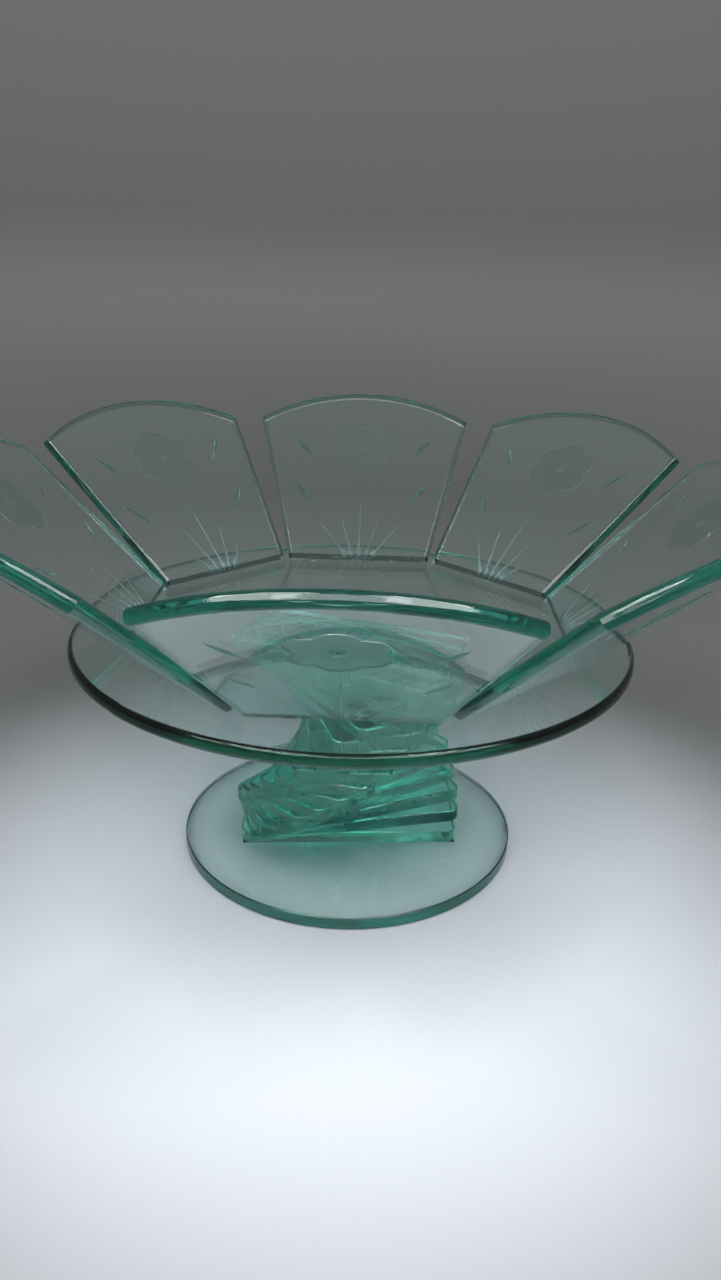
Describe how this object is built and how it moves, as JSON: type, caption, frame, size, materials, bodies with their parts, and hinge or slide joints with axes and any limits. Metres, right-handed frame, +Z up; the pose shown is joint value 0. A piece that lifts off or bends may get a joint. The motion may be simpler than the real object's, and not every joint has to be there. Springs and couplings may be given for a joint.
{
  "type": "glass pedestal fruit bowl",
  "caption": "Pedestal fruit bowl of green flat glass: engraved fan-shaped petals lean out from a round floor on a stem of glass strips stacked in a spiral over a round base plate.",
  "frame": {"origin": "centre of the underside of the base plate, which rests on the table", "axes": "+Z up along the stem; +X to the right and -Y to the front petal, each through the middle of a petal"},
  "size_m": [0.3608, 0.3608, 0.1857],
  "materials": {
    "plate_glass": "6 mm green float glass, polished edges",
    "strip_glass": "6 mm green float glass strips, polished edges",
    "petal_glass": "6 mm green float glass, pencil-polished edges, wheel-cut engraving",
    "adhesive": "clear cured glass adhesive"
  },
  "bodies": {
    "root": {"base_plate": "plate_glass", "stem_strip_01": "strip_glass", "stem_strip_02": "strip_glass", "stem_strip_03": "strip_glass", "stem_strip_04": "strip_glass", "stem_strip_05": "strip_glass", "stem_strip_06": "strip_glass", "stem_strip_07": "strip_glass", "stem_strip_08": "strip_glass", "stem_strip_09": "strip_glass", "stem_strip_10": "strip_glass", "stem_strip_11": "strip_glass", "stem_strip_12": "strip_glass", "stem_strip_13": "strip_glass", "stem_strip_14": "strip_glass", "stem_strip_15": "strip_glass", "stem_strip_16": "strip_glass", "bowl_floor": "plate_glass", "petal_right": "petal_glass", "petal_back_right": "petal_glass", "petal_back": "petal_glass", "petal_back_left": "petal_glass", "petal_left": "petal_glass", "petal_front_left": "petal_glass", "petal_front": "petal_glass", "petal_front_right": "petal_glass", "adhesive_right": "adhesive", "adhesive_back_right": "adhesive", "adhesive_back": "adhesive", "adhesive_back_left": "adhesive", "adhesive_left": "adhesive", "adhesive_front_left": "adhesive", "adhesive_front": "adhesive", "adhesive_front_right": "adhesive"}
  },
  "joints": []
}
